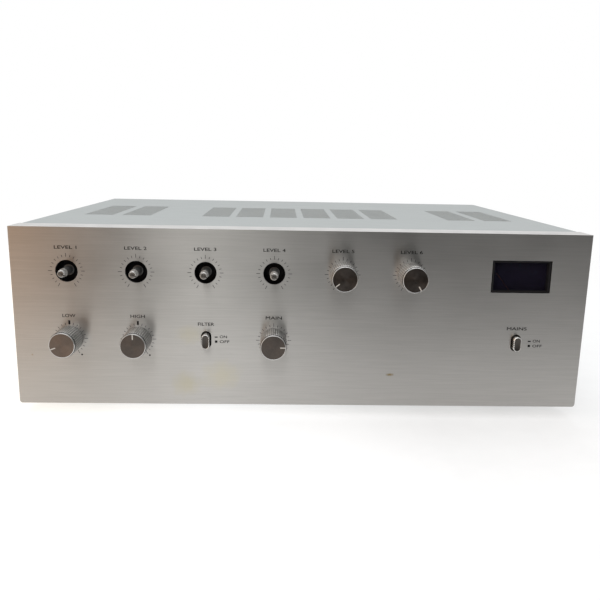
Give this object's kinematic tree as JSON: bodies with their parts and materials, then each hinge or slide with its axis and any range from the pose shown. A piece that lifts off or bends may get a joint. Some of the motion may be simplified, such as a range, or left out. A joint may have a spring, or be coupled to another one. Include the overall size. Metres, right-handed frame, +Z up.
{
  "type": "mixer amplifier",
  "caption": "Table-top mixer amplifier: brushed aluminium front with level and tone knobs, push buttons and a level meter, on a grey steel case with a slotted lid and rear sockets.",
  "frame": {"origin": "on the floor under the middle of the whole object's box", "axes": "+Z up, the controls face -Y, +X to the right of someone facing the controls"},
  "size_m": [0.4216, 0.338, 0.142],
  "materials": {
    "panel_aluminium": "brushed along its length, clear anodised",
    "grey_paint": "fine satin paint",
    "black_paint": "matt black paint",
    "plated_steel": "zinc plated",
    "screw_steel": "nickel plated",
    "foot_rubber": "matt rubber",
    "knob_metal": "turned, satin anodised",
    "shaft_metal": "turned and knurled",
    "pot_metal": "plated",
    "nut_black": "blackened",
    "button_metal": "satin anodised",
    "switch_plastic": "moulded",
    "meter_plastic": "moulded, matt black",
    "meter_glass": "smoked window",
    "dial_card": "printed plate",
    "needle_paint": "painted brown-orange",
    "movement_steel": "plated",
    "socket_nickel": "nickel plated",
    "terminal_plastic": "moulded phenolic",
    "terminal_brass": "plated brass",
    "fuse_plastic": "moulded",
    "inlet_plastic": "moulded",
    "core_iron": "laminated, varnished",
    "winding_copper": "wound, taped",
    "board_green": "lacquered board",
    "board_brown": "lacquered board",
    "capacitor_sleeve": "shrunk sleeve",
    "sink_black": "black anodised",
    "transistor_steel": "plated can"
  },
  "bodies": {
    "case": {"front_panel": "panel_aluminium", "inner_panel": "black_paint", "base_tray": "plated_steel", "side_panel_left": "grey_paint", "side_panel_right": "grey_paint", "rear_panel": "grey_paint", "top_cover": "grey_paint", "rubber_feet": "foot_rubber", "foot_screws": "screw_steel", "case_screws": "screw_steel", "pot_nuts": "nut_black", "tone_switch": "switch_plastic", "power_switch": "switch_plastic", "meter_case": "meter_plastic", "meter_bezel": "meter_plastic", "meter_lens": "meter_glass", "meter_dial": "dial_card", "meter_movement": "movement_steel", "module_plates": "grey_paint", "phono_sockets": "socket_nickel", "terminal_block": "terminal_plastic", "terminal_screws": "terminal_brass", "fuse_holder": "fuse_plastic", "mains_inlet": "inlet_plastic", "mains_core": "core_iron", "mains_winding": "winding_copper", "output_core": "core_iron", "output_winding": "winding_copper", "main_board": "board_green", "control_board": "board_brown", "filter_capacitors": "capacitor_sleeve", "heat_sink": "sink_black", "power_transistors": "transistor_steel", "input_pot_1": "pot_metal", "input_pot_2": "pot_metal", "input_pot_3": "pot_metal", "input_pot_4": "pot_metal", "input_pot_5": "pot_metal", "input_pot_6": "pot_metal", "bass_pot": "pot_metal", "treble_pot": "pot_metal", "master_pot": "pot_metal"},
    "input_1": {"input_shaft_1": "shaft_metal"},
    "input_2": {"input_shaft_2": "shaft_metal"},
    "input_3": {"input_shaft_3": "shaft_metal"},
    "input_4": {"input_shaft_4": "shaft_metal"},
    "input_5": {"input_shaft_5": "shaft_metal", "input_knob_5": "knob_metal"},
    "input_6": {"input_shaft_6": "shaft_metal", "input_knob_6": "knob_metal"},
    "bass": {"bass_shaft": "shaft_metal", "bass_knob": "knob_metal"},
    "treble": {"treble_shaft": "shaft_metal", "treble_knob": "knob_metal"},
    "master": {"master_shaft": "shaft_metal", "master_knob": "knob_metal"},
    "tone_button": {"tone_button": "button_metal"},
    "power_button": {"power_button": "button_metal"},
    "needle": {"meter_needle": "needle_paint"},
    "fuse_cap": {"fuse_cap": "fuse_plastic"}
  },
  "joints": [
    {"name": "input_1_turn", "type": "hinge", "parent": "case", "child": "input_1", "pos_m": [-0.1703, -0.149, 0.1104], "axis": [0, 1, 0], "range_deg": [0, 300]},
    {"name": "input_2_turn", "type": "hinge", "parent": "case", "child": "input_2", "pos_m": [-0.1206, -0.149, 0.1104], "axis": [0, 1, 0], "range_deg": [0, 300]},
    {"name": "input_3_turn", "type": "hinge", "parent": "case", "child": "input_3", "pos_m": [-0.0709, -0.149, 0.1104], "axis": [0, 1, 0], "range_deg": [0, 300]},
    {"name": "input_4_turn", "type": "hinge", "parent": "case", "child": "input_4", "pos_m": [-0.0212, -0.149, 0.1104], "axis": [0, 1, 0], "range_deg": [0, 300]},
    {"name": "input_5_turn", "type": "hinge", "parent": "case", "child": "input_5", "pos_m": [0.0285, -0.149, 0.1104], "axis": [0, 1, 0], "range_deg": [-20, 280]},
    {"name": "input_6_turn", "type": "hinge", "parent": "case", "child": "input_6", "pos_m": [0.0782, -0.149, 0.1104], "axis": [0, 1, 0], "range_deg": [-300, 0]},
    {"name": "bass_turn", "type": "hinge", "parent": "case", "child": "bass", "pos_m": [-0.1703, -0.149, 0.0603], "axis": [0, 1, 0], "range_deg": [-39, 261]},
    {"name": "treble_turn", "type": "hinge", "parent": "case", "child": "treble", "pos_m": [-0.1206, -0.149, 0.0603], "axis": [0, 1, 0], "range_deg": [-150, 150]},
    {"name": "master_turn", "type": "hinge", "parent": "case", "child": "master", "pos_m": [-0.0212, -0.149, 0.0603], "axis": [0, 1, 0], "range_deg": [-240, 60]},
    {"name": "tone_button_press", "type": "slide", "parent": "case", "child": "tone_button", "axis": [0, 1, 0], "range_m": [0, 0.0038], "stiffness_N_per_m": 300, "springref_m": -0.004},
    {"name": "power_button_press", "type": "slide", "parent": "case", "child": "power_button", "axis": [0, 1, 0], "range_m": [-0.0022, 0.0016], "stiffness_N_per_m": 300},
    {"name": "needle_swing", "type": "hinge", "parent": "case", "child": "needle", "pos_m": [0.16, -0.138, 0.0925], "axis": [0, 1, 0], "range_deg": [0, 78], "stiffness_Nm_per_rad": 0.0002, "springref_deg": -11.46},
    {"name": "fuse_cap_turn", "type": "hinge", "parent": "case", "child": "fuse_cap", "pos_m": [-0.16, 0.157, 0.104], "axis": [0, 1, 0], "range_deg": [0, 90]}
  ]
}
